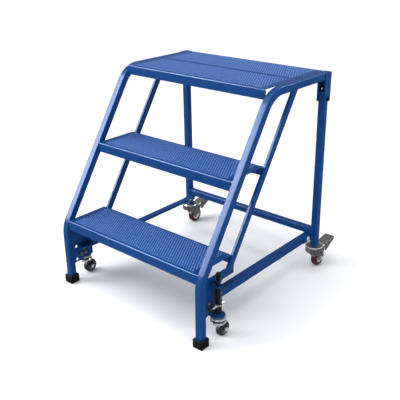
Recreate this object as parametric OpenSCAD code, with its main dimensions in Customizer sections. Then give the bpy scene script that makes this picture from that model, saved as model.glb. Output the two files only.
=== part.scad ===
// Mobile three-step stand with a bolted rear frame and four swivel casters.
// The steps face -Y, +Z is up, and the floor is z = 0 under the middle of the stand.

/* [Steps] */
// Clear width between the side rails
tread_w = 608; // [500:1:800]
// Depth of one tread from front to back
tread_depth = 175; // [150:1:200]
// Height of one step
step_rise = 254; // [220:1:300]
// Forward distance from one step's front edge to the next
step_run = 165; // [140:1:190]
// Thickness of the folded tread sheet
sheet_t = 2; // [1.5:0.1:3]
// Height of a tread's folded flanges
flange_h = 34; // [25:1:50]
// Gap between the two halves of the top platform
platform_gap = 1; // [0.5:0.1:5]

/* [Frame tubes] */
// Outside size of the square tube
tube = 25.4; // [22:0.1:35]
// Wall of the square tube
tube_wall = 2; // [1.5:0.1:3]
// Outside radius of the rail's two bends
bend_r = 110; // [80:1:120]
// Distance of a tread's front edge ahead of the sloping rail
nosing = 4.4; // [0:0.1:15]
// Distance of the front leg's face ahead of the bottom tread
leg_set = 10; // [0:0.5:20]
// Thickness of the flat stringer behind the treads
stringer_t = 9.5; // [6:0.5:12]
// Depth of the flat stringer
stringer_d = 25.4; // [20:0.1:40]
// Gap between a tread's back edge and the stringer at tread height
stringer_set = 7; // [2:0.5:15]
// Height at which the stringer turns upright
stringer_turn_z = 211; // [205:1:215]
// Height of the stringer's lower end
stringer_end_z = 184; // [178:1:195]

/* [Plates] */
// Thickness of the side plates, gussets and brackets
plate_t = 3; // [2.5:0.1:5]
// Height of the side plate's top edge
plate_top_z = 216; // [212:1:218]
// Height of the side plate's front tab
plate_low_z = 79; // [75:1:84]
// Depth of the side plate behind the front leg
plate_reach = 81; // [74:1:95]
// Radius of the spare holes in the side plate
spare_hole_r = 5.5; // [4:0.5:6.5]
// Radius of the frame bolts
bolt_r = 4.8; // [4:0.1:6]

/* [Lower bars] */
// Width of each leg of the angle bars
angle_w = 25.4; // [20:0.1:30]
// Thickness of the angle bars
angle_t = 3.2; // [2.5:0.1:5]
// Height of the angle bars' top face
bar_top_z = 142; // [138:1:160]

/* [Rear legs] */
// Forward set of the rear leg's top from the platform's back edge
rear_top_set = 18; // [14:0.5:24]
// Distance that the rear leg leans back over its height
rear_lean = 9; // [0:0.5:20]
// Height of the rear leg's top end
rear_leg_top = 696; // [670:1:700]

/* [Rubber feet] */
// Outside width of the rubber foot
foot_w = 38; // [34:0.5:50]
// Height of the rubber foot
foot_h = 31; // [20:1:45]
// Thickness of rubber under the tube
foot_floor = 8; // [4:0.5:12]

/* [Front casters] */
// Distance of the caster rod outside the side plate
rod_out = 23; // [21:0.5:26]
// Distance of the caster rod behind the front leg
rod_back = 61; // [58:0.5:64]
// Radius of the caster rod
rod_r = 8; // [6:0.25:9]
// Height of the rod's top
rod_top_z = 239; // [225:1:240]
// Upward travel of the sprung caster
spring_travel = 5; // [3:0.5:5]
// Thickness of the bracket's two lugs
lug_t = 4; // [3:0.5:6]
// Underside of the lower lug
lug_low_z = 85.5; // [85.5:0.5:88]
// Top of the upper lug
lug_top_z = 194; // [185:1:200]
// Outside radius of the spring
spring_r = 12.5; // [12:0.25:14]
// Wire diameter of the spring
spring_wire = 2.6; // [2:0.1:3]
// Number of turns in the spring
spring_turns = 9; // [6:1:12]
// Radius of the front wheel
front_wheel_r = 25.4; // [22:0.1:26]
// Width of the front wheel
front_wheel_w = 20; // [16:1:24]
// Distance of the front wheel behind its swivel
front_trail = 22; // [15:1:25]

/* [Rear casters] */
// Radius of the rear wheel
rear_wheel_r = 31.75; // [28:0.25:33]
// Width of the rear wheel
rear_wheel_w = 24; // [18:1:28]
// Distance of the rear wheel behind its swivel
rear_trail = 30; // [22:1:34]
// Height of the rear caster's top plate
rear_caster_h = 95; // [92:1:102]
// Radius of the rear caster's top plate
rear_race_r = 34; // [28:0.5:36]
// Length of the brake pedal
pedal_len = 80; // [60:1:90]
// Width of the brake pedal
pedal_w = 40; // [30:1:50]

/* [Fits] */
// Radial clearance between a shaft and its hole
shaft_gap = 0.08; // [0.03:0.01:0.1]
// Clearance between parts that move past each other
move_gap = 0.4; // [0.3:0.05:0.6]

/* [Hidden] */
$fn = 48;
EPS = 0.01;
blue = [0.09, 0.31, 0.58];
zinc = [0.78, 0.79, 0.80];
steel_grey = [0.45, 0.44, 0.43];
black = [0.07, 0.07, 0.08];
maroon = [0.36, 0.08, 0.13];
dark_steel = [0.20, 0.20, 0.22];

// Slope of the side rails
slope = atan2(step_rise, step_run);
level_factor = 1 / sin(slope);
top_z = 3 * step_rise;
rail_in = tread_w / 2 + 1;
rail_mid = rail_in + tube / 2;
platform_y = 2 * step_run;
platform_end = platform_y + 2 * tread_depth + platform_gap;

// Angle of each flat that makes up the rail's bends
bend_flat = 2.4;

// Front leg
leg_y = -leg_set;
leg_back = leg_y + tube;

// Outer face of everything welded or bolted inside the rails
inner_face = rail_in - 0.2;
plate_in = inner_face - plate_t;

// Rear leg, from its top to the caster plate
rear_top_y = platform_end - rear_top_set;
rear_low_y = rear_top_y + rear_lean;
rear_angle = atan2(rear_lean, rear_leg_top - rear_caster_h);
rear_leg_len = (rear_leg_top - rear_caster_h) / cos(rear_angle);
bracket_back = platform_end + 2;
bar_end = rear_low_y + tube / 2 - 2;

// Front caster
rod_x = inner_face + rod_out;
rod_y = leg_back + rod_back;
lug_r = rod_out;
front_race_r = 26;
race_top = lug_low_z - spring_travel - 0.5;
guide_top = lug_low_z + lug_t + 27;
guide_r = rod_r + 3;
pin_r = 3;
pin_z = guide_top + move_gap + pin_r;
pin_len = 53;
washer_t = 2;
washer_z = pin_z + pin_r;
spring_low = washer_z + washer_t + 0.2;
spring_high = lug_top_z - lug_t - 0.2;
upper_race_t = 5;
bearing_t = 8;
lower_race_t = 6;
fork_top = race_top - upper_race_t - bearing_t - move_gap;
front_arm_t = 2.5;
front_axle_r = 4;
kingpin_r = 5;

// Rear caster
rear_race_t = 5;
rear_bearing_t = 5;
rear_fork_top = rear_caster_h - rear_race_t - rear_bearing_t - move_gap;
rear_arm_t = 3;
rear_axle_r = 5;
pedal_t = 3;
pedal_pin_r = 3;
pedal_pin_y = rear_low_y + rear_race_r + 5;
pedal_pin_z = rear_fork_top - 6;
pedal_rise = 8;

// Middle of the stand's length, from the feet to the pedals
front_end = leg_y + tube / 2 - foot_w / 2;
pedal_tip = pedal_pin_y + pedal_len * cos(pedal_rise);
mid_y = (front_end + pedal_tip) / 2;

// ---- Helpers ----

// Moves a shape from the bottom tread's front edge into the stand's own frame,
// and mirrors it for the left side
module place(side = 1) {
    translate([0, -mid_y, 0])
        mirror([side < 0 ? 1 : 0, 0, 0])
            children();
}

// Turns an outline drawn in Y and Z into a solid from x = low to x = high
module side_extrude(low, high) {
    translate([low, 0, 0])
        rotate([90, 0, 90])
            linear_extrude(high - low)
                children();
}

// A cylinder along X, centred on y and z
module x_rod(low, high, y, z, r) {
    translate([low, y, z])
        rotate([0, 90, 0])
            cylinder(h = high - low, r = r);
}

// A hexagon head or nut along X
module x_hex(low, high, y, z, flats) {
    translate([low, y, z])
        rotate([0, 90, 0])
            cylinder(h = high - low, r = flats / 2 / cos(30), $fn = 6);
}

// A square tube along Z
module upright_tube(len) {
    difference() {
        translate([-tube / 2, -tube / 2, 0])
            cube([tube, tube, len]);
        translate([-tube / 2 + tube_wall, -tube / 2 + tube_wall, -1])
            cube([tube - 2 * tube_wall, tube - 2 * tube_wall, len + 2]);
    }
}

// Y of the rail's sloping front face at a height, for a wall that lies inset by o
function rail_front(z, o = 0) = nosing + o * level_factor + (z - step_rise) * step_run / step_rise;

// Height at which the upright leg's line at y meets the sloping line inset by o
function mitre_z(y, o) = step_rise + (y - nosing - o * level_factor) * step_rise / step_run;

// Y of the stringer's sloping front face at a height
function stringer_front(z) =
    tread_depth + stringer_set + (z - step_rise) * step_run / step_rise;

// ---- Side rails ----

// Middles of the top bend, and of the bend between the leg and the slope
bend_z = top_z - bend_r;
bend_mid = [rail_front(bend_z, bend_r), bend_z];
low_bend_mid = [leg_y + bend_r, mitre_z(leg_y + bend_r, bend_r)];

// Points round a bend, between two angles from the upright
function bend_points(mid, r, from, to) =
    let (count = ceil(abs(to - from) / bend_flat))
        [for (i = [0:count])
            let (a = from + (to - from) * i / count)
                mid + r * [-sin(a), cos(a)]];

// Side view of a rail, with all its faces moved inward by o
module rail_outline(o, low_z, end_y) {
    outer_r = bend_r - o;
    inner_r = bend_r - tube + o;
    polygon(concat(
        [[leg_y + o, low_z]],
        bend_points(low_bend_mid, outer_r, 90, slope),
        bend_points(bend_mid, outer_r, slope, 0),
        [[end_y, top_z - o], [end_y, top_z - tube + o]],
        bend_points(bend_mid, inner_r, 0, slope),
        bend_points(low_bend_mid, inner_r, slope, 90),
        [[leg_back - o, low_z]]));
}

module rail() {
    color(blue)
        difference() {
            side_extrude(rail_in, rail_in + tube)
                rail_outline(0, foot_floor, bracket_back - plate_t);
            side_extrude(rail_in + tube_wall, rail_in + tube - tube_wall)
                rail_outline(tube_wall, foot_floor - 1, bracket_back);
        }
}

// ---- Stringers: flat bars behind the treads ----

module stringer() {
    top = top_z - flange_h;
    back = stringer_d * level_factor;
    turn_back = stringer_front(stringer_turn_z) + back;
    color(blue)
        side_extrude(inner_face - stringer_t, inner_face)
            polygon([
                [turn_back, stringer_end_z],
                [turn_back, stringer_turn_z],
                [stringer_front(top) + back, top],
                [stringer_front(top), top],
                [stringer_front(stringer_turn_z), stringer_turn_z],
                [turn_back - stringer_d, stringer_turn_z - 4],
                [turn_back - stringer_d, stringer_end_z]]);
}

// ---- Treads: folded channels, open below ----

module tread(front_y, z) {
    clear_w = 2 * (inner_face - stringer_t);
    color(blue)
        translate([0, front_y, z])
            difference() {
                translate([-tread_w / 2, 0, -flange_h])
                    cube([tread_w, tread_depth, flange_h]);
                translate([-tread_w / 2 - 1, sheet_t, -flange_h - 1])
                    cube([tread_w + 2, tread_depth - 2 * sheet_t, flange_h + 1 - sheet_t]);
                for (side = [-1, 1])
                    translate([side * (clear_w / 2 + tread_w / 2) - tread_w / 2,
                               tread_depth - sheet_t - 1, -flange_h - 1])
                        cube([tread_w, sheet_t + 2, flange_h + 1 - sheet_t]);
            }
}

// ---- Side plate between the front leg, the stringer and the caster bracket ----

bar_bolt_y = leg_back + 34;
bar_bolt_z = bar_top_z - angle_w / 2;
lug_bolt_z = bar_top_z - angle_w - 11;
lug_bolt_y = [rod_y - 36, rod_y - 17];

module side_plate() {
    back = leg_back + plate_reach;
    arm_back = stringer_front(stringer_turn_z) + stringer_d * (level_factor - 1);
    tab_back = leg_back + 42;
    lap = 8;
    front = leg_back - lap;
    corner_r = 10;
    color(blue)
        difference() {
            side_extrude(plate_in, inner_face)
                polygon([
                    [front, plate_low_z],
                    [tab_back - corner_r, plate_low_z],
                    [tab_back, plate_low_z + corner_r],
                    [tab_back, plate_low_z + 38],
                    [tab_back + 5, plate_low_z + 38],
                    [tab_back + 5, lug_low_z],
                    [back - corner_r, lug_low_z],
                    [back, lug_low_z + corner_r],
                    [back, bar_top_z + 20],
                    [arm_back - 30, stringer_end_z],
                    [arm_back, stringer_end_z],
                    [arm_back, stringer_turn_z - 4],
                    [stringer_front(stringer_turn_z), stringer_turn_z],
                    [stringer_front(plate_top_z), plate_top_z],
                    [front, plate_top_z]]);
            x_rod(plate_in - 1, inner_face + 1, leg_back + 8, bar_top_z, spare_hole_r);
            x_rod(plate_in - 1, inner_face + 1, leg_back + 8, plate_low_z + 11, spare_hole_r);
            x_rod(plate_in - 1, inner_face + 1, bar_bolt_y, bar_bolt_z, bolt_r + shaft_gap);
            for (y = lug_bolt_y)
                x_rod(plate_in - 1, inner_face + 1, y, lug_bolt_z, bolt_r + shaft_gap);
        }
}

// ---- Caster bracket: a back plate, two lugs and a guide tube for the rod ----

module caster_bracket() {
    back_t = plate_t;
    upper_lug_r = 15;
    color(blue)
        difference() {
            union() {
                translate([inner_face, rod_y - lug_r - 22, lug_low_z])
                    cube([back_t, 2 * lug_r + 22, lug_top_z - lug_low_z]);
                translate([0, 0, lug_low_z])
                    lug(lug_r);
                translate([0, 0, lug_top_z - lug_t])
                    lug(upper_lug_r);
                translate([rod_x, rod_y, lug_low_z])
                    cylinder(h = guide_top - lug_low_z, r = guide_r);
            }
            translate([rod_x, rod_y, lug_low_z - 1])
                cylinder(h = lug_top_z, r = rod_r + shaft_gap);
            x_rod(inner_face - 1, inner_face + back_t + 1, bar_bolt_y, bar_bolt_z, bolt_r + shaft_gap);
            for (y = lug_bolt_y)
                x_rod(inner_face - 1, inner_face + back_t + 1, y, lug_bolt_z, bolt_r + shaft_gap);
        }
}

// A round-ended ear that reaches out from the side plate to the rod
module lug(r) {
    translate([rod_x, rod_y, 0])
        cylinder(h = lug_t, r = r);
    translate([inner_face, rod_y - r, 0])
        cube([rod_out, 2 * r, lug_t]);
}

// Three hexagon bolts a side that hold the bar and the bracket to the side plate
module plate_bolts() {
    color(zinc) {
        hex_bolt(plate_in - angle_t, inner_face + plate_t, bar_bolt_y, bar_bolt_z);
        for (y = lug_bolt_y)
            hex_bolt(plate_in, inner_face + plate_t, y, lug_bolt_z);
    }
}

// A hexagon bolt through plates between two faces, its nut on the outside
module hex_bolt(low, high, y, z) {
    x_rod(low - 1, high + 8, y, z, bolt_r);
    x_hex(low - 5, low, y, z, 3 * bolt_r);
    x_hex(high, high + 5.5, y, z, 3 * bolt_r);
}

// ---- Lower side bars: angles inside the plates ----

module side_bar() {
    low_y = leg_back + 14;
    out = plate_in;
    color(blue)
        difference() {
            union() {
                translate([out - angle_t, low_y, bar_top_z - angle_w])
                    cube([angle_t, bar_end - low_y, angle_w]);
                translate([out - angle_w, low_y, bar_top_z - angle_t])
                    cube([angle_w, bar_end - low_y, angle_t]);
            }
            for (y = [bar_bolt_y, gusset_bolt_y])
                x_rod(out - angle_t - 1, out + 1, y, bar_bolt_z, bolt_r + shaft_gap);
        }
}

// ---- Rear legs, gussets and cross bar ----

gusset_front = rear_low_y - tube / 2 - 43;
gusset_bolt_y = rear_low_y - tube / 2 - 14;
cross_z = bar_top_z;
cross_y = rear_low_y - rear_lean * (cross_z - rear_caster_h) / (rear_leg_top - rear_caster_h);

module rear_leg() {
    color(blue)
        difference() {
            translate([rail_mid, rear_low_y, rear_caster_h])
                rotate([rear_angle, 0, 0])
                    upright_tube(rear_leg_len);
            x_rod(rail_in - 1, rail_in + tube + 1, leg_bolt_y, leg_bolt_z, bolt_r + shaft_gap);
        }
}

// Tab inside the rear leg that the bar is bolted to
module rear_gusset() {
    low = bar_top_z - angle_w;
    color(blue)
        difference() {
            translate([plate_in, gusset_front, low])
                cube([rail_in - plate_in, bar_end - 2 - gusset_front, angle_w - 1]);
            x_rod(plate_in - 1, rail_in + 1, gusset_bolt_y, bar_bolt_z, bolt_r + shaft_gap);
        }
}

module gusset_bolt() {
    head_r = 2 * bolt_r;
    low = plate_in - angle_t;
    color(zinc) {
        x_rod(low - 8, rail_in, gusset_bolt_y, bar_bolt_z, bolt_r);
        x_hex(low - 5.5, low, gusset_bolt_y, bar_bolt_z, 3 * bolt_r);
        intersection() {
            translate([rail_in - head_r / 2, gusset_bolt_y, bar_bolt_z])
                sphere(r = head_r * 1.1);
            x_rod(rail_in, rail_in + head_r, gusset_bolt_y, bar_bolt_z, head_r);
        }
    }
}

module cross_bar() {
    color(blue)
        place()
            translate([-rail_in, cross_y, cross_z + tube / 2])
                rotate([0, 90, 0])
                    upright_tube(2 * rail_in);
}

// ---- Bracket that joins the rear leg to the rail ----

leg_bolt_z = top_z - 92;
leg_bolt_y = rear_top_y + rear_lean * (rear_leg_top - leg_bolt_z) / (rear_leg_top - rear_caster_h);

module leg_bracket() {
    low = leg_bolt_z - 9;
    cheek_d = 38;
    cheek_in = inner_face - plate_t;
    cheek_out = rail_in + tube;
    inner_top = top_z - flange_h - 0.5;
    color(blue)
        difference() {
            union() {
                translate([cheek_out, bracket_back - cheek_d, low])
                    cube([plate_t, cheek_d, top_z - low]);
                translate([cheek_in, bracket_back - cheek_d, low])
                    cube([plate_t, cheek_d, inner_top - low]);
                translate([cheek_in, bracket_back - plate_t, low + 8])
                    cube([cheek_out + plate_t - cheek_in, plate_t, inner_top - low - 8]);
                translate([rail_in, bracket_back - plate_t, inner_top - 1])
                    cube([tube + plate_t, plate_t, top_z - inner_top + 1]);
            }
            x_rod(cheek_in - 1, cheek_out + plate_t + 1, leg_bolt_y, leg_bolt_z, bolt_r + shaft_gap);
            x_rod(cheek_in - 1, inner_face + 1, bracket_back - 8, rear_leg_top + 3, 4.5);
        }
}

module leg_bolt() {
    low = inner_face - plate_t;
    high = rail_in + tube + plate_t;
    color(black)
        hex_bolt(low, high, leg_bolt_y, leg_bolt_z);
}

// ---- Rubber feet ----

module foot() {
    mid = leg_y + tube / 2;
    color(black)
        difference() {
            translate([rail_mid - foot_w / 2, mid - foot_w / 2, 0])
                cube([foot_w, foot_w, foot_h]);
            translate([rail_in, leg_y, foot_floor])
                cube([tube, tube, foot_h]);
        }
}

// ---- Front casters: sprung rod, swivel fork and wheel ----

module caster_rod() {
    color(black)
        translate([rod_x, rod_y, race_top]) {
            difference() {
                union() {
                    cylinder(h = rod_top_z - race_top - 2, r = rod_r);
                    cylinder(h = rod_top_z - race_top, r = rod_r - 2);
                }
                translate([0, -rod_r - 1, pin_z - race_top])
                    rotate([-90, 0, 0])
                        cylinder(h = 2 * rod_r + 2, r = pin_r);
            }
        }
}

// Cross pin and the washer that carries the spring
module rod_pin() {
    color(zinc)
        translate([rod_x, rod_y, 0]) {
            translate([0, -pin_len / 2, pin_z])
                rotate([-90, 0, 0])
                    cylinder(h = pin_len, r = pin_r);
            translate([0, 0, washer_z])
                difference() {
                    cylinder(h = washer_t, r = spring_r);
                    translate([0, 0, -1])
                        cylinder(h = washer_t + 2, r = rod_r + shaft_gap);
                }
        }
}

// Point on the spring's centre line, and the ring of wire section points around it
spring_sides = 8;
spring_steps = 16;
function coil_ring(a, z) = [
    for (i = [0:spring_sides - 1])
        let (q = 360 * i / spring_sides, r = spring_r - spring_wire / 2 + spring_wire / 2 * cos(q))
            [r * cos(a), r * sin(a), z + spring_wire / 2 * sin(q)]];

module spring() {
    count = spring_turns * spring_steps;
    low = spring_low + spring_wire / 2;
    pitch = (spring_high - spring_low - spring_wire) / spring_turns;
    rings = [for (k = [0:count])
        coil_ring(360 * k / spring_steps, low + pitch * k / spring_steps)];
    points = [for (ring = rings) for (p = ring) p];
    sides = [
        for (k = [0:count - 1])
            for (i = [0:spring_sides - 1])
                let (j = (i + 1) % spring_sides, a = k * spring_sides, b = a + spring_sides)
                    [a + i, b + i, b + j, a + j]];
    start_cap = [for (i = [0:spring_sides - 1]) i];
    end_cap = [for (i = [spring_sides - 1:-1:0]) count * spring_sides + i];
    color(dark_steel)
        translate([rod_x, rod_y, 0])
            polyhedron(points = points, faces = concat(sides, [start_cap, end_cap]));
}

// Fixed upper race, bearing and kingpin of the front caster
module front_race() {
    color(zinc)
        translate([rod_x, rod_y, 0]) {
            translate([0, 0, race_top - upper_race_t])
                cylinder(h = upper_race_t, r = front_race_r);
            translate([0, 0, fork_top + move_gap])
                cylinder(h = bearing_t, r = front_race_r - 5);
            translate([0, 0, fork_top - lower_race_t])
                cylinder(h = lower_race_t + move_gap + 1, r = kingpin_r);
        }
}

// Side view of a fork arm, from the crown to the axle
module arm_outline(trail, top, axle_z, half_top, eye_r, front_share) {
    intersection() {
        hull() {
            translate([trail, axle_z])
                circle(r = eye_r);
            translate([-half_top * front_share, top - 2])
                square([half_top * (1 + front_share) + trail * 0.2, 2]);
        }
        translate([-half_top - trail, 0])
            square([4 * half_top + 2 * trail, top]);
    }
}

module front_fork() {
    arm_in = front_wheel_w / 2 + 1.2;
    crown_z = fork_top - lower_race_t;
    color(steel_grey)
        translate([rod_x, rod_y, 0])
            difference() {
                union() {
                    translate([0, 0, crown_z])
                        cylinder(h = lower_race_t, r = front_race_r);
                    for (side = [-1, 1])
                        translate([side * (arm_in + front_arm_t / 2), 0, 0])
                            side_extrude(-front_arm_t / 2, front_arm_t / 2)
                                arm_outline(front_trail, crown_z + 1, front_wheel_r, front_race_r - 8, 8, 0.3);
                }
                translate([0, 0, crown_z - 1])
                    cylinder(h = lower_race_t + 2, r = kingpin_r + shaft_gap);
                x_rod(-arm_in - 5, arm_in + 5, front_trail, front_wheel_r, front_axle_r);
            }
}

module front_axle() {
    reach = front_wheel_w / 2 + 1.2 + front_arm_t;
    color(zinc)
        translate([rod_x, rod_y, 0]) {
            x_rod(-reach, reach + 6, front_trail, front_wheel_r, front_axle_r);
            x_hex(-reach - 4, -reach, front_trail, front_wheel_r, 13);
            x_hex(reach, reach + 5, front_trail, front_wheel_r, 13);
        }
}

// A tyre with rounded shoulders around a hub
module tyre(r, w, hub_r) {
    shoulder = w / 5;
    rotate([0, 90, 0])
        rotate_extrude($fn = 96)
            union() {
                translate([hub_r, -w / 2])
                    square([r - hub_r - shoulder, w]);
                translate([hub_r, -w / 2 + shoulder])
                    square([r - hub_r, w - 2 * shoulder]);
                for (side = [-1, 1])
                    translate([r - shoulder, side * (w / 2 - shoulder)])
                        circle(r = shoulder);
            }
}

module hub(r, w, bore_r) {
    rotate([0, 90, 0])
        rotate_extrude($fn = 96)
            difference() {
                translate([bore_r, -w / 2])
                    square([r - bore_r, w]);
                for (side = [0, 1])
                    mirror([0, side])
                        translate([bore_r + 3, w / 2 - 2])
                            square([r - bore_r - 5.5, 3]);
            }
}

module front_tyre() {
    color(black)
        translate([rod_x, rod_y + front_trail, front_wheel_r])
            tyre(front_wheel_r, front_wheel_w, front_wheel_r * 0.66);
}

module front_hub() {
    color(steel_grey)
        translate([rod_x, rod_y + front_trail, front_wheel_r])
            hub(front_wheel_r * 0.66, front_wheel_w, front_axle_r + shaft_gap);
}

// ---- Rear casters: braked swivel fork and wheel ----

// Top plate, bearing and the plug that fills the leg's lower end
module rear_stem() {
    plug_h = 40;
    plug_w = tube - 2 * tube_wall - 0.4;
    color(zinc)
        translate([rail_mid, rear_low_y, 0]) {
            translate([0, 0, rear_caster_h - rear_race_t - EPS])
                cylinder(h = rear_race_t, r = rear_race_r);
            translate([0, 0, rear_fork_top + move_gap])
                cylinder(h = rear_bearing_t, r = rear_race_r - 5);
            translate([0, 0, rear_fork_top - 8])
                cylinder(h = 9, r = kingpin_r);
            translate([0, 0, rear_caster_h - 1])
                rotate([rear_angle, 0, 0])
                    translate([-plug_w / 2, -plug_w / 2, 0])
                        cube([plug_w, plug_w, plug_h]);
        }
}

module rear_fork() {
    arm_in = rear_wheel_w / 2 + 1.5;
    crown_t = 6;
    crown_z = rear_fork_top - crown_t;
    crown_r = rear_race_r - 1;
    skirt_h = 7;
    ear_in = arm_in;
    color(steel_grey)
        translate([rail_mid, rear_low_y, 0])
            difference() {
                union() {
                    translate([0, 0, crown_z])
                        cylinder(h = crown_t, r = crown_r);
                    translate([0, 0, crown_z - skirt_h])
                        difference() {
                            cylinder(h = skirt_h + 1, r = crown_r);
                            translate([0, 0, -1])
                                cylinder(h = skirt_h + 1, r = crown_r - rear_arm_t);
                        }
                    for (side = [-1, 1]) {
                        translate([side * (arm_in + rear_arm_t / 2), 0, 0])
                            side_extrude(-rear_arm_t / 2, rear_arm_t / 2)
                                arm_outline(rear_trail, crown_z + 1, rear_wheel_r, rear_race_r - 7, 10, 0.9);
                        translate([side * (ear_in + rear_arm_t / 2) - rear_arm_t / 2,
                                   rear_race_r - 12, crown_z])
                            cube([rear_arm_t, 22, crown_t]);
                    }
                }
                translate([0, 0, crown_z - 1])
                    cylinder(h = crown_t + 2, r = kingpin_r + shaft_gap);
                x_rod(-arm_in - 5, arm_in + 5, rear_trail, rear_wheel_r, rear_axle_r);
                x_rod(-arm_in - 5, arm_in + 5, rear_race_r + 5, pedal_pin_z, pedal_pin_r);
            }
}

module rear_axle() {
    reach = rear_wheel_w / 2 + 1.5 + rear_arm_t;
    color(zinc)
        translate([rail_mid, rear_low_y, 0]) {
            x_rod(-reach, reach + 6, rear_trail, rear_wheel_r, rear_axle_r);
            x_hex(-reach - 4, -reach, rear_trail, rear_wheel_r, 16);
            x_hex(reach, reach + 5, rear_trail, rear_wheel_r, 16);
        }
}

module rear_tyre() {
    color(maroon)
        translate([rail_mid, rear_low_y + rear_trail, rear_wheel_r])
            tyre(rear_wheel_r, rear_wheel_w, rear_wheel_r * 0.6);
}

module rear_hub() {
    color(zinc)
        translate([rail_mid, rear_low_y + rear_trail, rear_wheel_r])
            hub(rear_wheel_r * 0.6, rear_wheel_w, rear_axle_r + shaft_gap);
}

// Foot pedal with deep sides, hinged on a pin at the back of the fork
module brake_pedal() {
    barrel_w = rear_wheel_w + 3 - 2 * move_gap;
    barrel_r = pedal_pin_r + 3;
    plate_top = barrel_r - 1;
    pad_start = 12;
    pad_end = pedal_len - barrel_r * sin(pedal_rise);
    root_depth = 30;
    tip_depth = 8;
    color(steel_grey)
        translate([rail_mid, pedal_pin_y, pedal_pin_z])
            difference() {
                union() {
                    x_rod(-barrel_w / 2, barrel_w / 2, 0, 0, barrel_r);
                    rotate([pedal_rise, 0, 0]) {
                        translate([-barrel_w / 2 + 1, 0, plate_top - pedal_t + 0.25])
                            cube([barrel_w - 2, pad_start + 6, pedal_t - 0.5]);
                        difference() {
                            side_extrude(-pedal_w / 2, pedal_w / 2)
                                polygon([
                                    [pad_start, plate_top],
                                    [pad_end, plate_top],
                                    [pad_end, plate_top - tip_depth],
                                    [pad_start + 10, plate_top - root_depth],
                                    [pad_start, plate_top - root_depth]]);
                            translate([-pedal_w / 2 + pedal_t, pad_start - 1, plate_top - pedal_t - 50])
                                cube([pedal_w - 2 * pedal_t, pad_end - pad_start + 1 - pedal_t, 50]);
                        }
                    }
                }
                x_rod(-barrel_w, barrel_w, 0, 0, pedal_pin_r + shaft_gap);
            }
}

module pedal_pin() {
    reach = rear_wheel_w / 2 + 1.5 + rear_arm_t;
    head = 1.5;
    color(zinc)
        translate([rail_mid, rear_low_y, 0])
            x_rod(-reach - head, reach + head, rear_race_r + 5, pedal_pin_z, pedal_pin_r);
}

// ---- Nodes ----

module rail_left() { place(-1) rail(); }
module rail_right() { place() rail(); }
module stringer_left() { place(-1) stringer(); }
module stringer_right() { place() stringer(); }
module tread_bottom() { place() tread(0, step_rise); }
module tread_middle() { place() tread(step_run, 2 * step_rise); }
module platform_front() { place() tread(platform_y, top_z); }
module platform_rear() { place() tread(platform_y + tread_depth + platform_gap, top_z); }
module side_plate_left() { place(-1) side_plate(); }
module side_plate_right() { place() side_plate(); }
module leg_bracket_left() { place(-1) leg_bracket(); }
module leg_bracket_right() { place() leg_bracket(); }
module foot_left() { place(-1) foot(); }
module foot_right() { place() foot(); }
module caster_bracket_left() { place(-1) caster_bracket(); }
module caster_bracket_right() { place() caster_bracket(); }
module plate_bolts_left() { place(-1) plate_bolts(); }
module plate_bolts_right() { place() plate_bolts(); }
module side_bar_left() { place(-1) side_bar(); }
module side_bar_right() { place() side_bar(); }
module rear_leg_left() { place(-1) rear_leg(); }
module rear_leg_right() { place() rear_leg(); }
module rear_gusset_left() { place(-1) rear_gusset(); }
module rear_gusset_right() { place() rear_gusset(); }
module gusset_bolt_left() { place(-1) gusset_bolt(); }
module gusset_bolt_right() { place() gusset_bolt(); }
module leg_bolt_left() { place(-1) leg_bolt(); }
module leg_bolt_right() { place() leg_bolt(); }
module caster_rod_left() { place(-1) caster_rod(); }
module caster_rod_right() { place() caster_rod(); }
module rod_pin_left() { place(-1) rod_pin(); }
module rod_pin_right() { place() rod_pin(); }
module spring_left() { place(-1) spring(); }
module spring_right() { place() spring(); }
module front_race_left() { place(-1) front_race(); }
module front_race_right() { place() front_race(); }
module front_fork_left() { place(-1) front_fork(); }
module front_fork_right() { place() front_fork(); }
module front_axle_left() { place(-1) front_axle(); }
module front_axle_right() { place() front_axle(); }
module front_tyre_left() { place(-1) front_tyre(); }
module front_tyre_right() { place() front_tyre(); }
module front_hub_left() { place(-1) front_hub(); }
module front_hub_right() { place() front_hub(); }
module rear_stem_left() { place(-1) rear_stem(); }
module rear_stem_right() { place() rear_stem(); }
module rear_fork_left() { place(-1) rear_fork(); }
module rear_fork_right() { place() rear_fork(); }
module rear_axle_left() { place(-1) rear_axle(); }
module rear_axle_right() { place() rear_axle(); }
module rear_tyre_left() { place(-1) rear_tyre(); }
module rear_tyre_right() { place() rear_tyre(); }
module rear_hub_left() { place(-1) rear_hub(); }
module rear_hub_right() { place() rear_hub(); }
module brake_pedal_left() { place(-1) brake_pedal(); }
module brake_pedal_right() { place() brake_pedal(); }
module pedal_pin_left() { place(-1) pedal_pin(); }
module pedal_pin_right() { place() pedal_pin(); }

rail_left();
rail_right();
stringer_left();
stringer_right();
tread_bottom();
tread_middle();
platform_front();
platform_rear();
side_plate_left();
side_plate_right();
leg_bracket_left();
leg_bracket_right();
foot_left();
foot_right();
caster_bracket_left();
caster_bracket_right();
plate_bolts_left();
plate_bolts_right();
side_bar_left();
side_bar_right();
rear_leg_left();
rear_leg_right();
cross_bar();
rear_gusset_left();
rear_gusset_right();
gusset_bolt_left();
gusset_bolt_right();
leg_bolt_left();
leg_bolt_right();
caster_rod_left();
caster_rod_right();
rod_pin_left();
rod_pin_right();
spring_left();
spring_right();
front_race_left();
front_race_right();
front_fork_left();
front_fork_right();
front_axle_left();
front_axle_right();
front_tyre_left();
front_tyre_right();
front_hub_left();
front_hub_right();
rear_stem_left();
rear_stem_right();
rear_fork_left();
rear_fork_right();
rear_axle_left();
rear_axle_right();
rear_tyre_left();
rear_tyre_right();
rear_hub_left();
rear_hub_right();
brake_pedal_left();
brake_pedal_right();
pedal_pin_left();
pedal_pin_right();
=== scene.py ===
"""Looks for the three-step stand: perforated treads, bent rails, welds, casters, studio."""

import math

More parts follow.
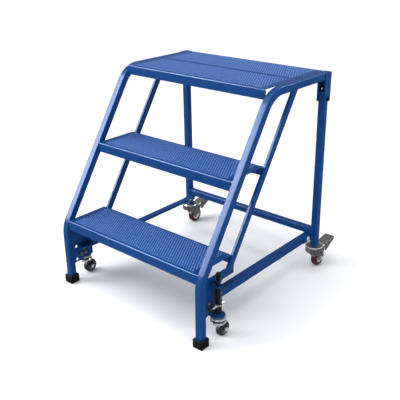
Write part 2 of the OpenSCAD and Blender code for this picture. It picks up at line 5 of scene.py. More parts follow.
import bmesh
import bpy
from mathutils import Matrix, Vector


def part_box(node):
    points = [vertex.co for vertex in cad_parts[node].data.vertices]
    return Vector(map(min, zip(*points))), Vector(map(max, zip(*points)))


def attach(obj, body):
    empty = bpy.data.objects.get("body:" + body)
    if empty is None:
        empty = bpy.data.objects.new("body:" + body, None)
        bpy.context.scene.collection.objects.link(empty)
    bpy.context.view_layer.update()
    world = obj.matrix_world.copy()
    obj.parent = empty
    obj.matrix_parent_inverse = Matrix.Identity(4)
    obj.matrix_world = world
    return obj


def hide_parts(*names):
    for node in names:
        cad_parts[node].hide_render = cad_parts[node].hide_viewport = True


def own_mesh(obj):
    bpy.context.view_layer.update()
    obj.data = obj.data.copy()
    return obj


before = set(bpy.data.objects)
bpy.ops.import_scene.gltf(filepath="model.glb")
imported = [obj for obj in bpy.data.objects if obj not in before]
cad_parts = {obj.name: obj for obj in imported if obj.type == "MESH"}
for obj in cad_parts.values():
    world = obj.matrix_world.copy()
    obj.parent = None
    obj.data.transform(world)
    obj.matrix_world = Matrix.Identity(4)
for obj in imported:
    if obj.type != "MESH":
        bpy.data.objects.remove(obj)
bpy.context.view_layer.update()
MM = 0.001
SIDES = {"left": -1, "right": 1}

# ---- Sizes that the frame's boxes give ----

tread_low, tread_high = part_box("tread_bottom")
rail_low, rail_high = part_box("rail_right")
TUBE = rail_high.x - rail_low.x
RAIL_X = (rail_low.x + rail_high.x) / 2
FRONT_Y = tread_low.y
FLANGE = tread_high.z - tread_low.z
STEP_RISE = tread_high.z
STEP_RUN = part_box("tread_middle")[0].y - tread_low.y
TOP_Z = rail_high.z
SLOPE = math.atan2(STEP_RISE, STEP_RUN)

# ---- Sizes of the details ----

# Sheet and tube
SHEET = 2 * MM
FOLD_R = 5 * MM
FOLD_STEPS = 5
NOSING = 4.4 * MM
BEND_R = 110 * MM
BEND_STEPS = 28
CORNER_R = 3.2 * MM
CORNER_STEPS = 4
LEG_END_TRIM = 0.5 * MM

# Staggered holes in the treads, each with a raised lip
HOLE_PITCH = 9.6 * MM
ROW_PITCH = 8.4 * MM
HOLE_R = 2.3 * MM
LIP_R = 3.0 * MM
LIP_H = 0.8 * MM
HOLE_SIDES = 8
END_MARGIN = 22 * MM
EDGE_MARGIN = 11 * MM

# Springs
WIRE = 2.6 * MM
COIL_TURNS = 9
TURN_STEPS = 40
WIRE_SIDES = 12

# Tyres: the shoulder is a share of the width, the wall's top is in shoulders, and the rest are shares
# of the side wall's height and of the half width
SHOULDER = 0.24
SHOULDER_STEPS = 6
WALL_TOP = 1.2
WALL_FOOT = (0.25, 0.9)
BEAD_SEAT = 0.86

# Hubs: the boss's radii are in bores, the rim's in hub radii, and widths are shares of the half width
FRONT_BORE_R = 4.2 * MM
REAR_BORE_R = 5.2 * MM
BOSS_TOP, BOSS_EDGE, BOSS_FOOT = 1.9, 2.05, 2.15
WEB_END, RIM_FOOT, RIM_EDGE = 0.8, 0.86, 0.9
WEB_AT_BOSS, WEB_AT_RIM, RIM_RISE, RIM_W = 0.55, 0.5, 0.84, 0.92

# Bearing balls of the rear races
BALL_R = 2.0 * MM
BALL_RING_R = 29.5 * MM
BALL_LIFT = 3.1 * MM
BALL_COUNT = 36

# Turned trim: outlines as (radius, height) in mm. A rim's radii count from its own outer edge.
CROWN_RIM = [
    (-3, -6.3), (-0.6, -6.3), (0, -5.4), (0, -1.2), (-1.4, 0.15), (-6, 0.15), (-6, -1), (-3, -1)
]
SEAL = [(20.6, 0), (23.4, 0), (24.0, 2.7), (23.4, 5.4), (20.6, 5.4)]
BUSH = [(8.15, 0), (11.6, 0), (11.6, 20.2), (10.8, 21.2), (8.15, 21.2)]
PLATE_RIM = [(-3.6, -1.2), (-0.5, -1.6), (0, -1), (0, 0.2), (-0.7, 0.9), (-2.8, 0.9), (-3.6, 0.2)]
CROWN_RIM_PROUD = 0.5 * MM
PLATE_RIM_PROUD = 0.4 * MM
SEAL_LIFT = 0.8 * MM
BUSH_LIFT = 10 * MM

# Cheeks that carry the pedal: corners as offsets in Y and Z, in mm, each from the named part
CHEEK = [
    ("axle", -2, "fork_top", -3),
    ("pin", 2, "fork_top", -0.5),
    ("pin", 7, "pin", -1),
    ("pin", 13.5, "pin", -3),
    ("pin", 13.5, "pin", -15),
    ("axle", 12, "axle", 12),
    ("axle", 4, "axle", 12),
]
CHEEK_T = 3 * MM
CHEEK_LAP = 0.3 * MM
TYRE_GAP = 1.5 * MM
CHEEK_SOFT = 0.6 * MM

# Weld beads: their radii, and how their thickness wanders
PLATE_BEAD = 2 * MM
CROSS_BEAD = TREAD_BEAD = 1.8 * MM
STRINGER_BEAD = 1.6 * MM
LUG_BEAD = 1.7 * MM
BEAD_SIDES = 8
RIPPLE_PITCH = 2.2 * MM
RIPPLE_STEPS = 5
LEAST_STEPS = 6
RIPPLE, SWELL = 0.14, 0.10
SWELL_RATE, SWELL_SHIFT = 23, 40
TIP, TIP_RATE = 0.35, 12

# How far each bead lies in from the sides and ends of what it joins
PLATE_IN, PLATE_END = 1 * MM, 4 * MM
CROSS_IN = 0.6 * MM
TREAD_IN, TREAD_BACK, TREAD_FOOT, TREAD_TOP = 0.4 * MM, 3 * MM, 2 * MM, 4 * MM
STRINGER_BACK, STRINGER_FOOT, STRINGER_TOP = 1 * MM, 3 * MM, 5 * MM
LUG_OUT, LUG_INSET, LUG_END, UPPER_REACH = 3.4 * MM, 4.3 * MM, 3 * MM, 13 * MM

# Smoothness
TURNED_SIDES = 64
WHEEL_SIDES = 80
CREASE, RAIL_CREASE, TYRE_CREASE, HUB_CREASE = 35, 25, 40, 30
BEVEL_ANGLE = 30
BEVEL_STEPS = 2
FOOT_BEVEL_STEPS = 3
MERGE = 0.01 * MM

# What all finishes share
COAT_ROUGH, COAT_IOR = 0.22, 1.45
DARK_AT, LIGHT_AT = 0.35, 0.65
GLOSS_LOW, GLOSS_HIGH = 0.75, 1.25
SKIN_DEPTH = 0.3 * MM


# ---- Materials ----


def srgb(r, g, b):
    """An 8-bit display colour as linear RGBA."""
    def linear(c):
        c /= 255
        return c / 12.92 if c <= 0.04045 else ((c + 0.055) / 1.055) ** 2.4

    return (linear(r), linear(g), linear(b), 1)


def material(name, dark, light, rough, grain, bump, bump_scale=900, metal=0.0, coat=0.0, spec=0.5):
    """A finish that drifts between two colours, with uneven gloss and a fine surface texture."""
    mat = bpy.data.materials.new(name)
    mat.use_nodes = True
    nodes, links = mat.node_tree.nodes, mat.node_tree.links
    shader = nodes["Principled BSDF"]
    shader.inputs["Metallic"].default_value = metal
    shader.inputs["Coat Weight"].default_value = coat
    shader.inputs["Coat Roughness"].default_value = COAT_ROUGH
    shader.inputs["Coat IOR"].default_value = COAT_IOR
    shader.inputs["Specular IOR Level"].default_value = spec
    place = nodes.new("ShaderNodeTexCoord")

    def noise(scale, detail):
        tex = nodes.new("ShaderNodeTexNoise")
        tex.inputs["Scale"].default_value = scale
        tex.inputs["Detail"].default_value = detail
        links.new(place.outputs["Object"], tex.inputs["Vector"])
        return tex.outputs["Fac"]

    colour = nodes.new("ShaderNodeValToRGB")
    colour.color_ramp.elements[0].position = DARK_AT
    colour.color_ramp.elements[0].color = dark
    colour.color_ramp.elements[1].position = LIGHT_AT
    colour.color_ramp.elements[1].color = light
    links.new(noise(grain, 5), colour.inputs["Fac"])
    links.new(colour.outputs["Color"], shader.inputs["Base Color"])
    gloss = nodes.new("ShaderNodeMapRange")
    gloss.inputs["To Min"].default_value = rough * GLOSS_LOW
    gloss.inputs["To Max"].default_value = min(1.0, rough * GLOSS_HIGH)
    links.new(noise(grain * 3, 3), gloss.inputs["Value"])
    links.new(gloss.outputs["Result"], shader.inputs["Roughness"])
    skin = nodes.new("ShaderNodeBump")
    skin.inputs["Strength"].default_value = bump
    skin.inputs["Distance"].default_value = SKIN_DEPTH
    links.new(noise(bump_scale, 2), skin.inputs["Height"])
    links.new(skin.outputs["Normal"], shader.inputs["Normal"])
    return mat


LOOKS = {
    "blue_powder_coat": dict(
        dark=srgb(3, 57, 113), light=srgb(5, 62, 121),
        rough=0.33, grain=30, bump=0.06, spec=0.05, coat=0.24
    ),
    # The hole lips wear a lighter blue than the sheet's own coat: a painted highlight where light catches
    # the raised lips
    "lip_painted_highlight": dict(
        dark=srgb(62, 102, 170), light=srgb(82, 122, 190), rough=0.30, grain=200, bump=0.1, spec=0.4
    ),
    "painted_weld": dict(
        dark=srgb(4, 50, 102), light=srgb(8, 60, 116),
        rough=0.28, grain=300, bump=0.4, bump_scale=500, spec=0.25
    ),
    "foot_rubber": dict(
        dark=srgb(6, 6, 7), light=srgb(12, 12, 14),
        rough=0.7, grain=120, bump=0.35, bump_scale=1500, spec=0.12
    ),
    "black_tyre": dict(
        dark=srgb(16, 16, 18), light=srgb(28, 28, 31), rough=0.5, grain=160, bump=0.3, bump_scale=1300
    ),
    "maroon_tyre": dict(
        dark=srgb(62, 12, 23), light=srgb(80, 18, 31),
        rough=0.38, grain=110, bump=0.2, bump_scale=1100, spec=0.3
    ),
    "black_steel": dict(
        dark=srgb(22, 22, 26), light=srgb(40, 40, 46), rough=0.34, metal=0.6, grain=200, bump=0.15
    ),
    "spring_steel": dict(
        dark=srgb(44, 44, 50), light=srgb(78, 78, 86), rough=0.3, metal=0.9, grain=260, bump=0.1
    ),
    "caster_steel": dict(
        dark=srgb(98, 95, 93), light=srgb(136, 132, 128), rough=0.32, metal=0.8, grain=130, bump=0.15
    ),
    "zinc_plate": dict(
        dark=srgb(196, 198, 202), light=srgb(232, 232, 232), rough=0.26, metal=0.45, grain=90, bump=0.08
    ),
}
MATERIALS = {name: material(name, **look) for name, look in LOOKS.items()}


# ---- Mesh helpers ----


def piece(name, mesh_maker, finish, body, replaces=(), look=None):
    """A new object from a filled bmesh, on its CAD body. It wears look if that is given, or its finish."""
    mesh = bpy.data.meshes.new(name)
    mesh_maker.normal_update()
    mesh_maker.to_mesh(mesh)
    mesh_maker.free()
    obj = bpy.data.objects.new(name, mesh)
    bpy.context.scene.collection.objects.link(obj)
    mesh.shade_smooth()
    mesh.materials.append(MATERIALS[look or finish])
    if replaces:
        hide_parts(*replaces)
    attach(obj, body)
    return obj


def even_normals(obj):
    """Leaves flat faces flat beside their rounded edges."""
    normals = obj.modifiers.new("normals", "WEIGHTED_NORMAL")
    normals.keep_sharp = True


def soften(obj, width, segments=BEVEL_STEPS):
    """Welds, rounds the edges and evens the normals of a mesh with modifiers."""
    weld = obj.modifiers.new("weld", "WELD")
    weld.merge_threshold = MERGE
    bevel = obj.modifiers.new("bevel", "BEVEL")
    bevel.width = width
    bevel.segments = segments
    bevel.limit_method = "ANGLE"
    bevel.angle_limit = math.radians(BEVEL_ANGLE)
    even_normals(obj)


def sharp_by_angle(obj, degrees=CREASE):
    """Keeps edges over an angle crisp."""
    obj.data.set_sharp_from_angle(angle=math.radians(degrees))
    even_normals(obj)


def middle(node):
    """The middle of a CAD node's box."""
    low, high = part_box(node)
    return (low + high) / 2


def ring_angles(count):
    """Angles spaced evenly around a full turn."""
    return [2 * math.pi * k / count for k in range(count)]


def rounded_square(size, radius):
    """Points around a square with rounded corners, centred on the origin."""
    half = size / 2 - radius
    points = []
    for turn, (cx, cy) in enumerate([(half, half), (-half, half), (-half, -half), (half, -half)]):
        for i in range(CORNER_STEPS + 1):
            a = math.pi / 2 * (turn + i / CORNER_STEPS)
            points.append((cx + radius * math.cos(a), cy + radius * math.sin(a)))
    return points


def bridge(bm, first, second):
    """Quads between two rings of the same length. Returns them."""
    count = len(first)
    return [
        bm.faces.new((first[i], first[(i + 1) % count], second[(i + 1) % count], second[i]))
        for i in range(count)
    ]


def skin_rings(bm, rings):
    """Joins a row of rings and closes both ends."""
    for a, b in zip(rings, rings[1:]):
        bridge(bm, a, b)
    bm.faces.new(rings[0][::-1])
    bm.faces.new(rings[-1])


def square_tube(bm, path, side):
    """A hollow square tube along a path in one plane. side is the plane's own normal."""
    shells = []
    side = Vector(side)
    for size, radius in ((TUBE, CORNER_R), (TUBE - 2 * SHEET, CORNER_R - SHEET)):
        section = rounded_square(size, radius)
        rings = []
        for i, here in enumerate(path):
            before = (here - path[i - 1]).normalized() if i else None
            after = (path[i + 1] - here).normalized() if i < len(path) - 1 else None
            along = ((before or after) + (after or before)).normalized()
            out = side.cross(along).normalized()
            spread = 1 / along.dot(after or before)
            rings.append([bm.verts.new(here + side * u + out * v * spread) for u, v in section])
        for a, b in zip(rings, rings[1:]):
            bridge(bm, a, b)
        shells.append(rings)
    outer, inner = shells
    bridge(bm, outer[-1], inner[-1])
    bridge(bm, inner[0], outer[0])
    bmesh.ops.recalc_face_normals(bm, faces=bm.faces)


def make_tube(name, path, side, replaces, degrees=CREASE):
    """A blue square tube that takes a CAD node's place."""
    bm = bmesh.new()
    square_tube(bm, path, side)
    tube = piece(name, bm, "blue_powder_coat", "frame", [replaces])
    sharp_by_angle(tube, degrees)


def lathe(bm, profile, centre, axis, sides):
    """A closed profile of (radius, distance along the axis) turned around an axis."""
    axis = Vector(axis)
    u = axis.orthogonal().normalized()
    v = axis.cross(u)
    rings = []
    for a in ring_angles(sides):
        out = u * math.cos(a) + v * math.sin(a)
        rings.append([bm.verts.new(centre + out * r + axis * t) for r, t in profile])
    for i in range(sides):
        bridge(bm, rings[i], rings[(i + 1) % sides])
    bmesh.ops.recalc_face_normals(bm, faces=bm.faces)


def bead(bm, start, end, radius):
    """A weld bead: a round run whose thickness ripples along its length and thins at its tips."""
    start, end = Vector(start), Vector(end)
    along = end - start
    length = along.length
    along.normalize()
    u = along.orthogonal().normalized()
    v = along.cross(u)
    steps = max(LEAST_STEPS, int(length / RIPPLE_PITCH * RIPPLE_STEPS))
    rings = []
    for i in range(steps + 1):
        t = i / steps
        ripple = 1 + RIPPLE * math.sin(2 * math.pi * t * length / RIPPLE_PITCH)
        swell = 1 + SWELL * math.sin(SWELL_RATE * t + SWELL_SHIFT * start.z)
        taper = min(1, TIP + TIP_RATE * min(t, 1 - t))
        r = radius * ripple * swell * taper
        rings.append([
            bm.verts.new(start + along * length * t + r * (u * math.cos(a) + v * math.sin(a)))
            for a in ring_angles(BEAD_SIDES)
        ])
    skin_rings(bm, rings)


# ---- Treads: one folded sheet each, with staggered holes ----


def perforated_top(bm, low, high, z):
    """Staggered holes with raised lips over a rectangle. Returns the points along its four edges."""
    columns = round((high.x - low.x) / HOLE_PITCH)
    rows = round((high.y - low.y) / ROW_PITCH)
    step_x = (high.x - low.x) / columns / 2
    step_y = (high.y - low.y) / rows
    last = 2 * columns
    grid = {}

    def corner(i, j):
        if (i, j) not in grid:
            grid[i, j] = bm.verts.new((low.x + i * step_x, low.y + j * step_y, z))
        return grid[i, j]

    for row in range(rows):
        shift = row % 2
        if shift:
            # A shifted row leaves half a cell at each end
            for i in (0, last - 1):
                near, far = row, row + 1
                bm.faces.new([corner(i, near), corner(i + 1, near), corner(i + 1, far), corner(i, far)])
        for column in range(columns - shift):
            i = 2 * column + shift
            centre = Vector((low.x + (i + 1) * step_x, low.y + (row + 0.5) * step_y, z))
            edge = [
                corner(i + 2, row), corner(i + 2, row + 1), corner(i + 1, row + 1),
                corner(i, row + 1), corner(i, row), corner(i + 1, row),
            ]
            angles = [math.atan2(v.co.y - centre.y, v.co.x - centre.x) for v in edge]
            anchors = [round(a / (2 * math.pi) * HOLE_SIDES) % HOLE_SIDES for a in angles]
            rim, crest = (
                [
                    bm.verts.new(centre + Vector((radius * math.cos(a), radius * math.sin(a), lift)))
                    for a in ring_angles(HOLE_SIDES)
                ]
                for radius, lift in ((LIP_R, 0), (HOLE_R, LIP_H))
            )
            # The lip faces take the sheet's second material, which paints them lighter as a painted
            # highlight
            for face in bridge(bm, rim, crest):
                face.material_index = 1
            for k in range(len(edge)):
                a, b = anchors[k], anchors[(k + 1) % len(edge)]
                arc = [rim[m % HOLE_SIDES] for m in range(a, b + (HOLE_SIDES if b < a else 0) + 1)]
                bm.faces.new([edge[k], edge[(k + 1) % len(edge)]] + arc[::-1])
    front = [corner(i, 0) for i in range(last + 1) if (i, 0) in grid]
    back = [corner(i, rows) for i in range(last + 1) if (i, rows) in grid]
    left = [corner(0, j) for j in range(rows + 1)]
    right = [corner(last, j) for j in range(rows + 1)]
    return front, back, left, right


def fold(y, z, out_y):
    """Points in Y and Z round a fold and down its flange, for an edge that faces out_y."""
    arc = [
        (y - out_y * FOLD_R + out_y * FOLD_R * math.sin(a), z - FOLD_R + FOLD_R * math.cos(a))
        for a in (math.pi / 2 * k / FOLD_STEPS for k in range(FOLD_STEPS + 1))
    ]
    return arc + [(y, z - FLANGE)]


def make_tread(node):
    """A sheet with holes, folded down in front and behind. The rear flange ends at the stringers."""
    low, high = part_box(node)
    top = high.z
    bm = bmesh.new()
    holes_low = Vector((low.x + END_MARGIN, low.y + EDGE_MARGIN, top))
    holes_high = Vector((high.x - END_MARGIN, high.y - EDGE_MARGIN, top))
    front, back, left, right = perforated_top(bm, holes_low, holes_high, top)

    def run(x, points):
        return [bm.verts.new((x, y, z)) for y, z in points]

    stringer_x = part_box("stringer_right")[0].x
    front_fold = fold(low.y, top, -1)
    back_fold = fold(high.y, top, 1)
    front_left = run(low.x, front_fold)
    front_right = run(high.x, front_fold)
    back_left = run(-stringer_x, back_fold)
    back_right = run(stringer_x, back_fold)
    corner_left, = run(low.x, back_fold[:1])
    corner_right, = run(high.x, back_fold[:1])
    bm.faces.new([front_left[0], front_right[0], *reversed(front)])
    bm.faces.new([*back, corner_right, back_right[0], back_left[0], corner_left])
    bm.faces.new([front_left[0], *left, corner_left])
    bm.faces.new([front_right[0], corner_right, *reversed(right)])
    for run_a, run_b in ((front_left, front_right), (back_left, back_right)):
        for i in range(len(run_a) - 1):
            bm.faces.new([run_a[i], run_a[i + 1], run_b[i + 1], run_b[i]])
    bmesh.ops.recalc_face_normals(bm, faces=bm.faces)
    bm.normal_update()
    flat = [f for f in bm.faces if abs(f.normal.z) > 0.99]
    if sum(f.normal.z for f in flat) < 0:
        bmesh.ops.reverse_faces(bm, faces=bm.faces)
    tread = piece(node + "_sheet", bm, "blue_powder_coat", "frame", [node])
    # The second material paints the hole lips lighter than the sheet, a painted highlight
    tread.data.materials.append(MATERIALS["lip_painted_highlight"])
    thick = tread.modifiers.new("sheet", "SOLIDIFY")
    thick.thickness = SHEET
    thick.offset = -1
    sharp_by_angle(tread)


for node in ("tread_bottom", "tread_middle", "platform_front", "platform_rear"):
    make_tread(node)


# ---- Side rails, rear legs and cross bar: square tube ----


def rail_path(x):
    """The rail's centre line, from the foot to its back end."""
    half = TUBE / 2
    run = 1 / math.tan(SLOPE)
    level = 1 / math.sin(SLOPE)
    leg_y = rail_low.y + half
    bend_z = TOP_Z - BEND_R
    bend_y = FRONT_Y + NOSING + BEND_R * level + (bend_z - STEP_RISE) * run
    low_y = leg_y - half + BEND_R
    low_z = bend_z + (low_y - bend_y) / run
    path = [Vector((x, leg_y, rail_low.z))]
    for mid_y, mid_z, first, last in ((low_y, low_z, math.pi / 2, SLOPE), (bend_y, bend_z, SLOPE, 0)):
        for i in range(BEND_STEPS + 1):
            a = first + (last - first) * i / BEND_STEPS
            out = Vector((0, -math.sin(a), math.cos(a)))
            path.append(Vector((x, mid_y, mid_z)) + (BEND_R - half) * out)
    path.append(Vector((x, rail_high.y, TOP_Z - half)))
    return path


def leg_path(node):
    """A leaning rear leg's centre line, from its lower end up."""
    low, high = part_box(node)
    lean = math.atan2((high.y - low.y) - TUBE, high.z - low.z)
    half = TUBE / 2 / math.cos(lean)
    x = (low.x + high.x) / 2
    foot = Vector((x, high.y - half, low.z + LEG_END_TRIM))
    head = Vector((x, low.y + half, high.z - LEG_END_TRIM))
    return [foot, head]


for side, sign in SIDES.items():
    make_tube(f"rail_tube_{side}", rail_path(sign * RAIL_X), (1, 0, 0), f"rail_{side}", RAIL_CREASE)
for side in SIDES:
    make_tube(f"rear_leg_tube_{side}", leg_path(f"rear_leg_{side}"), (1, 0, 0), f"rear_leg_{side}")
cross_low, cross_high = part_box("cross_bar")
cross = middle("cross_bar")
cross_path = [Vector((x, cross.y, cross.z)) for x in (cross_low.x, cross_high.x)]
make_tube("cross_bar_tube", cross_path, (0, 1, 0), "cross_bar")

# ---- Springs ----


def coil(bm, centre, z_low, z_high, coil_r):
    """A round wire wound about an upright axis. coil_r is the outside radius."""
    wire_r = WIRE / 2
    count = COIL_TURNS * TURN_STEPS
    rings = []
    for k in range(count + 1):
        a = 2 * math.pi * k / TURN_STEPS
        out = Vector((math.cos(a), math.sin(a), 0))
        spot = Vector((centre.x, centre.y, z_low + wire_r + (z_high - z_low - WIRE) * k / count))
        rings.append([
            bm.verts.new(spot + out * (coil_r - wire_r + wire_r * math.cos(q))
                         + Vector((0, 0, wire_r * math.sin(q))))
            for q in ring_angles(WIRE_SIDES)
        ])
    skin_rings(bm, rings)
    bmesh.ops.recalc_face_normals(bm, faces=bm.faces)


for side in SIDES:
    low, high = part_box(f"spring_{side}")
    centre = (low + high) / 2
    bm = bmesh.new()
    coil(bm, centre, low.z, high.z, (high.x - low.x) / 2)
    spring = piece(f"coil_spring_{side}", bm, "spring_steel", "frame", [f"spring_{side}"])
    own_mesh(spring)

# ---- Wheels ----


def tyre_profile(r, hub_r, width):
    """A tyre's half-round shoulders and a shallow step down to the hub."""
    w = width / 2
    shoulder = width * SHOULDER
    foot_up, foot_w = WALL_FOOT
    wall_foot = (hub_r + (r - hub_r) * foot_up, w * foot_w)
    half = [(hub_r, w * BEAD_SEAT), wall_foot, (r - shoulder * WALL_TOP, w)]
    for k in range(SHOULDER_STEPS + 1):
        a = math.pi / 2 * k / SHOULDER_STEPS
        half.append((r - shoulder + shoulder * math.sin(a), w - shoulder + shoulder * math.cos(a)))
    return [(p, -t) for p, t in half] + half[::-1]


def hub_profile(hub_r, bore_r, width):
    """A rimmed hub with a dished web and a raised bearing boss."""
    w = width / 2
    half = [
        (bore_r, w),
        (bore_r * BOSS_TOP, w),
        (bore_r * BOSS_EDGE, w * RIM_W),
        (bore_r * BOSS_FOOT, w * WEB_AT_BOSS),
        (hub_r * WEB_END, w * WEB_AT_RIM),
        (hub_r * RIM_FOOT, w * RIM_RISE),
        (hub_r * RIM_EDGE, w * RIM_W),
        (hub_r, w * RIM_W),
    ]
    return half + [(r, -t) for r, t in reversed(half)]


def make_wheel(end, side, tyre_finish, hub_finish, bore_r):
    """A tyre and a hub that take the places of the CAD's plain ones."""
    low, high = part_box(f"{end}_tyre_{side}")
    hub_low, hub_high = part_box(f"{end}_hub_{side}")
    centre = (low + high) / 2
    width = high.x - low.x
    hub_r = (hub_high.z - hub_low.z) / 2
    bm = bmesh.new()
    lathe(bm, tyre_profile((high.z - low.z) / 2, hub_r, width), centre, (1, 0, 0), WHEEL_SIDES)
    tyre = piece(f"{end}_tyre_ring_{side}", bm, tyre_finish, f"{end}_wheel_{side}", [f"{end}_tyre_{side}"])
    sharp_by_angle(tyre, TYRE_CREASE)
    bm = bmesh.new()
    lathe(bm, hub_profile(hub_r, bore_r, width), centre, (1, 0, 0), WHEEL_SIDES)
    hub = piece(f"{end}_hub_disc_{side}", bm, hub_finish, f"{end}_wheel_{side}", [f"{end}_hub_{side}"])
    sharp_by_angle(hub, HUB_CREASE)


for side in SIDES:
    make_wheel("front", side, "black_tyre", "caster_steel", FRONT_BORE_R)
    make_wheel("rear", side, "maroon_tyre", "zinc_plate", REAR_BORE_R)

# ---- Bearing balls seen between the rear races ----

for side in SIDES:
    stem = middle(f"rear_stem_{side}")
    ball_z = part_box(f"rear_fork_{side}")[1].z + BALL_LIFT
    bm = bmesh.new()
    for a in ring_angles(BALL_COUNT):
        spot = Vector((stem.x + BALL_RING_R * math.cos(a), stem.y + BALL_RING_R * math.sin(a), ball_z))
        bmesh.ops.create_icosphere(bm, subdivisions=2, radius=BALL_R, matrix=Matrix.Translation(spot))
    piece(f"rear_balls_{side}", bm, "zinc_plate", "frame")

# ---- Front caster trim: the fork's plated rim, the dark seal above it, the bush in the guide ----


def turned(name, outline, x, y, z, finish, body, outer_r=0):
    """An outline in mm turned about an upright axis. Its radii count from outer_r."""
    bm = bmesh.new()
    profile = [(outer_r + r * MM, t * MM) for r, t in outline]
    lathe(bm, profile, Vector((x, y, z)), (0, 0, 1), TURNED_SIDES)
    sharp_by_angle(piece(name, bm, finish, body))


for side in SIDES:
    race_low, race_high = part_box(f"front_race_{side}")
    x, y, _ = middle(f"front_race_{side}")
    crown_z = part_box(f"front_fork_{side}")[1].z
    rim_r = (race_high.x - race_low.x) / 2 + CROWN_RIM_PROUD
    turned(f"crown_rim_{side}", CROWN_RIM, x, y, crown_z, "zinc_plate", f"front_fork_{side}", rim_r)
    turned(f"front_seal_{side}", SEAL, x, y, crown_z + SEAL_LIFT, "black_steel", f"front_stem_{side}")
    bush_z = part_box(f"caster_bracket_{side}")[0].z + BUSH_LIFT
    turned(f"guide_bush_{side}", BUSH, x, y, bush_z, "black_steel", "frame")

# ---- Rear caster trim: the top plate's rolled rim, and the cheeks that carry the pedal ----

for side in SIDES:
    stem_low, stem_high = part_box(f"rear_stem_{side}")
    stem = middle(f"rear_stem_{side}")
    plate_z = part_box(f"rear_leg_{side}")[0].z
    rim_r = (stem_high.x - stem_low.x) / 2 + PLATE_RIM_PROUD
    turned(f"rear_rim_{side}", PLATE_RIM, stem.x, stem.y, plate_z, "zinc_plate", "frame", rim_r)

    tyre_low, tyre_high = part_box(f"rear_tyre_{side}")
    axle = middle(f"rear_tyre_{side}")
    pin = middle(f"pedal_pin_{side}")
    from_y = {"axle": axle.y, "pin": pin.y}
    from_z = {"axle": axle.z, "pin": pin.z, "fork_top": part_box(f"rear_fork_{side}")[1].z}
    outline = [(from_y[at_y] + y * MM, from_z[at_z] + z * MM) for at_y, y, at_z, z in CHEEK]
    inner_x = (tyre_high.x - tyre_low.x) / 2 + TYRE_GAP
    bm = bmesh.new()
    for sign in SIDES.values():
        inside, outside = (
            [bm.verts.new((stem.x + sign * x, y, z)) for y, z in outline]
            for x in (inner_x - CHEEK_LAP, inner_x + CHEEK_T + CHEEK_LAP)
        )
        bridge(bm, inside, outside)
        bm.faces.new(inside)
        bm.faces.new(outside[::-1])
    bmesh.ops.recalc_face_normals(bm, faces=bm.faces)
    soften(piece(f"pedal_cheeks_{side}", bm, "caster_steel", f"rear_fork_{side}"), CHEEK_SOFT)

# ---- Welds: beads sunk a little into the corners that they fill ----

plate_low, plate_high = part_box("side_plate_right")
bracket_low, bracket_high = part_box("caster_bracket_right")
stringer_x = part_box("stringer_right")[0].x
rod_y = middle("caster_rod_right").y
lug_x = bracket_low.x + LUG_OUT
lower_lug = (bracket_low.z + LUG_INSET, bracket_high.y - rod_y - LUG_END)
upper_lug = (bracket_high.z - LUG_INSET, UPPER_REACH)


def weld_side(bm, sign):
    """All the beads of one side. sign is -1 on the left and 1 on the right."""

    def upright(x, y, z_low, z_high, radius):
        bead(bm, (sign * x, y, z_low), (sign * x, y, z_high), radius)

    plate_x = plate_high.x - PLATE_IN
    upright(plate_x, plate_low.y, plate_low.z + PLATE_END, plate_high.z - PLATE_END, PLATE_BEAD)
    end_x = sign * (cross_high.x - CROSS_IN)
    bar_top = cross_low.z + TUBE
    bottom_front = (cross_low.y, cross_low.z)
    top_front = (cross_low.y, cross_high.z)
    top_back = (cross_high.y, cross_high.z)
    # Up the front and over the top. The third is only a stub at the top back corner.
    for start, end in (
        (bottom_front, (cross_low.y, bar_top)),
        (top_front, top_back),
        (top_back, (cross_high.y, bar_top)),
    ):
        bead(bm, (end_x, *start), (end_x, *end), CROSS_BEAD)
    for node in ("tread_bottom", "tread_middle", "platform_front"):
        low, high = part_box(node)
        foot = high.z - FLANGE
        tread_x, tread_y = high.x - TREAD_IN, low.y + TREAD_BACK
        upright(tread_x, tread_y, foot + TREAD_FOOT, high.z - TREAD_TOP, TREAD_BEAD)
        flange_y = high.y - STRINGER_BACK
        upright(stringer_x, flange_y, foot + STRINGER_FOOT, high.z - STRINGER_TOP, STRINGER_BEAD)
    for z, reach in (lower_lug, upper_lug):
        bead(bm, (sign * lug_x, rod_y - reach, z), (sign * lug_x, rod_y + reach, z), LUG_BEAD)


bm = bmesh.new()
for sign in SIDES.values():
    weld_side(bm, sign)
bmesh.ops.recalc_face_normals(bm, faces=bm.faces)
piece("weld_beads", bm, "blue_powder_coat", "frame", look="painted_weld")

# ---- Finishes and softened edges, in mm, of the CAD nodes that stay ----

SOFT_EDGES = {
    "stringer": ("blue_powder_coat", 1.2),
    "side_plate": ("blue_powder_coat", 0.6),
    "leg_bracket": ("blue_powder_coat", 0.6),
    "caster_bracket": ("blue_powder_coat", 0.5),
    "side_bar": ("blue_powder_coat", 0.8),
    "rear_gusset": ("blue_powder_coat", 0.6),
    "foot": ("foot_rubber", 2.2),
    "plate_bolts": ("caster_steel", 0.5),
    "gusset_bolt": ("zinc_plate", 0.5),
    "leg_bolt": ("black_steel", 0.5),
    "caster_rod": ("black_steel", 0.4),
    "rod_pin": ("zinc_plate", 0.3),
    "front_race": ("zinc_plate", 0.6),
    "front_fork": ("black_steel", 0.5),
    "front_axle": ("zinc_plate", 0.4),
    "rear_stem": ("caster_steel", 0.6),
    "rear_fork": ("caster_steel", 0.6),
    "rear_axle": ("zinc_plate", 0.4),
    "brake_pedal": ("caster_steel", 0.7),
    "pedal_pin": ("zinc_plate", 0.3),
}
for kind, (finish, width) in SOFT_EDGES.items():
    for side in SIDES:
        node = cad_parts[f"{kind}_{side}"]
        node.data.materials.clear()
        node.data.materials.append(MATERIALS[finish])
        soften(node, width * MM, FOOT_BEVEL_STEPS if kind == "foot" else BEVEL_STEPS)

# ---- Floor, lights and camera ----

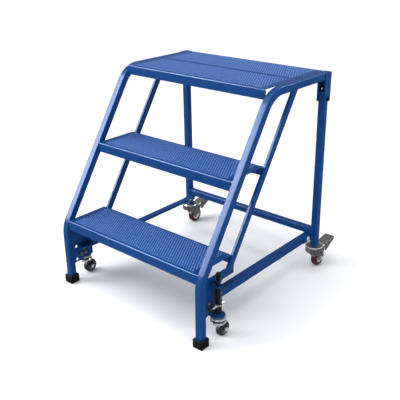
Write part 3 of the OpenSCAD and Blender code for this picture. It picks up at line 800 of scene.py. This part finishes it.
FLOOR_HALF = 30
FLOOR_DARK, FLOOR_LIGHT = (0.86, 0.86, 0.87, 1), (0.88, 0.88, 0.89, 1)
bm = bmesh.new()
bmesh.ops.create_grid(bm, x_segments=1, y_segments=1, size=FLOOR_HALF)
mesh = bpy.data.meshes.new("floor")
bm.to_mesh(mesh)
bm.free()
floor = bpy.data.objects.new("floor", mesh)
bpy.context.scene.collection.objects.link(floor)
paint = material("studio_floor", FLOOR_DARK, FLOOR_LIGHT, 0.85, grain=2, bump=0.0, spec=0.1)
mesh.materials.append(paint)
floor.visible_glossy = False

WORLD_COLOUR, WORLD_STRENGTH = (0.93, 0.95, 1.0, 1), 0.35
world = bpy.data.worlds.new("studio")
bpy.context.scene.world = world
world.use_nodes = True
world.node_tree.nodes["Background"].inputs["Color"].default_value = WORLD_COLOUR
world.node_tree.nodes["Background"].inputs["Strength"].default_value = WORLD_STRENGTH


def softbox(name, place, aim_z, size, power, colour=(1, 1, 1), gleam_only=False):
    """A rectangular lamp. One that is gleam_only shows in reflections and doesn't light matt surfaces."""
    light = bpy.data.lights.new(name, "AREA")
    light.shape = "RECTANGLE"
    light.size, light.size_y = size
    light.energy = power
    light.color = colour
    obj = bpy.data.objects.new(name, light)
    bpy.context.scene.collection.objects.link(obj)
    obj.location = place
    obj.rotation_euler = (Vector((0, 0, aim_z)) - Vector(place)).to_track_quat("-Z", "Y").to_euler()
    obj.visible_diffuse = not gleam_only


softbox("key", (-1.9, -2.0, 1.85), 0.4, (1.4, 1.5), 52)
softbox("gleam", (-2.0, -2.1, 1.9), 0.4, (1.7, 1.7), 270, (0.80, 0.86, 1.0), gleam_only=True)
softbox("edge", (-1.8, -1.3, 2.5), 0.5, (0.8, 0.7), 160, (0.52, 0.74, 1.0), gleam_only=True)
softbox("rim", (1.2, 2.2, 2.5), 0.6, (0.8, 0.8), 120, (0.6, 0.8, 1.0), gleam_only=True)
softbox("fill", (2.7, -0.5, 1.6), 0.4, (1.6, 1.6), 26)

SUN_STRENGTH, SUN_ANGLE = 2.8, 70
SUN_TILT = (12, -10, 0)
sky = bpy.data.lights.new("sky", "SUN")
sky.energy = SUN_STRENGTH
sky.angle = math.radians(SUN_ANGLE)
sky_lamp = bpy.data.objects.new("sky", sky)
sky_lamp.rotation_euler = [math.radians(v) for v in SUN_TILT]
bpy.context.scene.collection.objects.link(sky_lamp)

# The view is from the front right and above: azimuth, elevation and roll in degrees, place in metres
AZIMUTH, ELEVATION, ROLL = 40.867, 23.266, -0.544
EYE = Vector((1.4114, -1.6462, 1.2228))
LENS, SENSOR = 57.34, 36
azimuth, elevation, roll = (math.radians(v) for v in (AZIMUTH, ELEVATION, ROLL))
back = Vector((
    math.sin(azimuth) * math.cos(elevation),
    -math.cos(azimuth) * math.cos(elevation),
    math.sin(elevation),
))
level = (-back).cross(Vector((0, 0, 1))).normalized()
upright = level.cross(-back)
across = math.cos(roll) * level + math.sin(roll) * upright
up = -math.sin(roll) * level + math.cos(roll) * upright
lens = bpy.data.cameras.new("camera")
lens.lens = LENS
lens.sensor_width = SENSOR
camera = bpy.data.objects.new("camera", lens)
bpy.context.scene.collection.objects.link(camera)
camera.matrix_world = Matrix.Translation(EYE) @ Matrix((across, up, back)).transposed().to_4x4()
bpy.context.scene.camera = camera
bpy.context.scene.view_settings.view_transform = "Standard"
